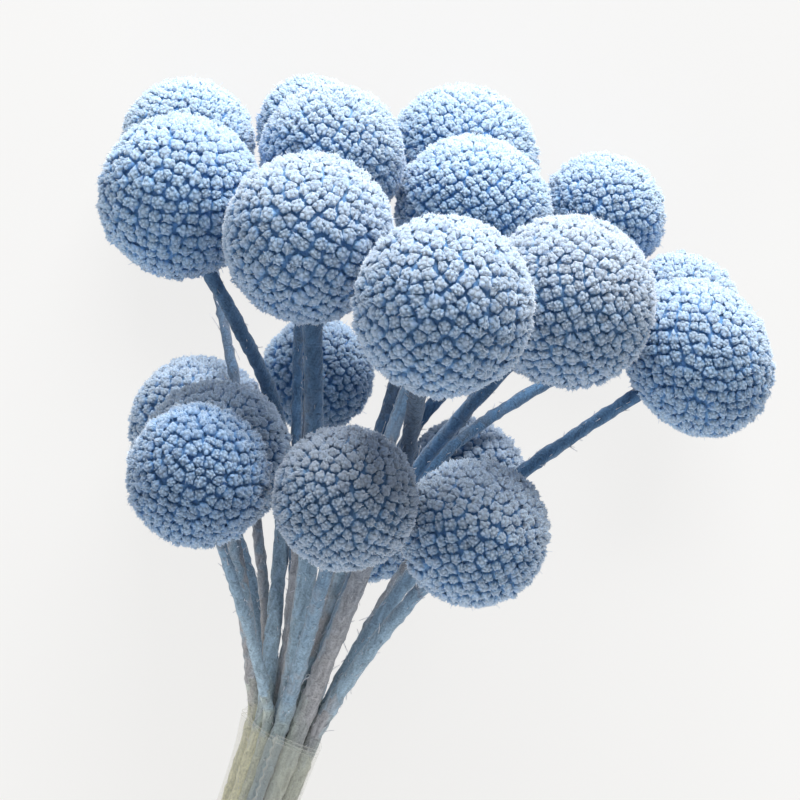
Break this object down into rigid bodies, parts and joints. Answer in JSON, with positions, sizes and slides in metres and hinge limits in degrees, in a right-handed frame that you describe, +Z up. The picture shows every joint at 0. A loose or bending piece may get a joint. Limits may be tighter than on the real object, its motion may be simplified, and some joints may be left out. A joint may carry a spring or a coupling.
{
  "type": "bunch of billy buttons",
  "caption": "Bunch of dyed, dried billy buttons with round floret-covered heads, tied at the stems with clear tape and lying on its back.",
  "frame": {"origin": "middle of the bunch's box on the surface it lies on", "axes": "+Z up from the surface, +Y along the bunch from the cut ends to the heads, +X across it"},
  "size_m": [0.1326, 0.4174, 0.1099],
  "materials": {
    "dyed_florets": "matt, felted dried florets dyed powder blue",
    "dyed_stem": "dried woolly stem dyed grey-blue, straw coloured under the tape",
    "clear_tape": "clear adhesive tape, slightly yellow and wrinkled"
  },
  "bodies": {
    "root": {"head_01": "dyed_florets", "head_02": "dyed_florets", "head_03": "dyed_florets", "head_04": "dyed_florets", "head_05": "dyed_florets", "head_06": "dyed_florets", "head_07": "dyed_florets", "head_08": "dyed_florets", "head_09": "dyed_florets", "head_10": "dyed_florets", "head_11": "dyed_florets", "head_12": "dyed_florets", "head_13": "dyed_florets", "head_14": "dyed_florets", "head_15": "dyed_florets", "head_16": "dyed_florets", "head_17": "dyed_florets", "head_18": "dyed_florets", "head_19": "dyed_florets", "head_20": "dyed_florets", "stem_01": "dyed_stem", "stem_02": "dyed_stem", "stem_03": "dyed_stem", "stem_04": "dyed_stem", "stem_05": "dyed_stem", "stem_06": "dyed_stem", "stem_07": "dyed_stem", "stem_08": "dyed_stem", "stem_09": "dyed_stem", "stem_10": "dyed_stem", "stem_11": "dyed_stem", "stem_12": "dyed_stem", "stem_13": "dyed_stem", "stem_14": "dyed_stem", "stem_15": "dyed_stem", "stem_16": "dyed_stem", "stem_17": "dyed_stem", "stem_18": "dyed_stem", "stem_19": "dyed_stem", "stem_20": "dyed_stem", "tape": "clear_tape"}
  },
  "joints": []
}
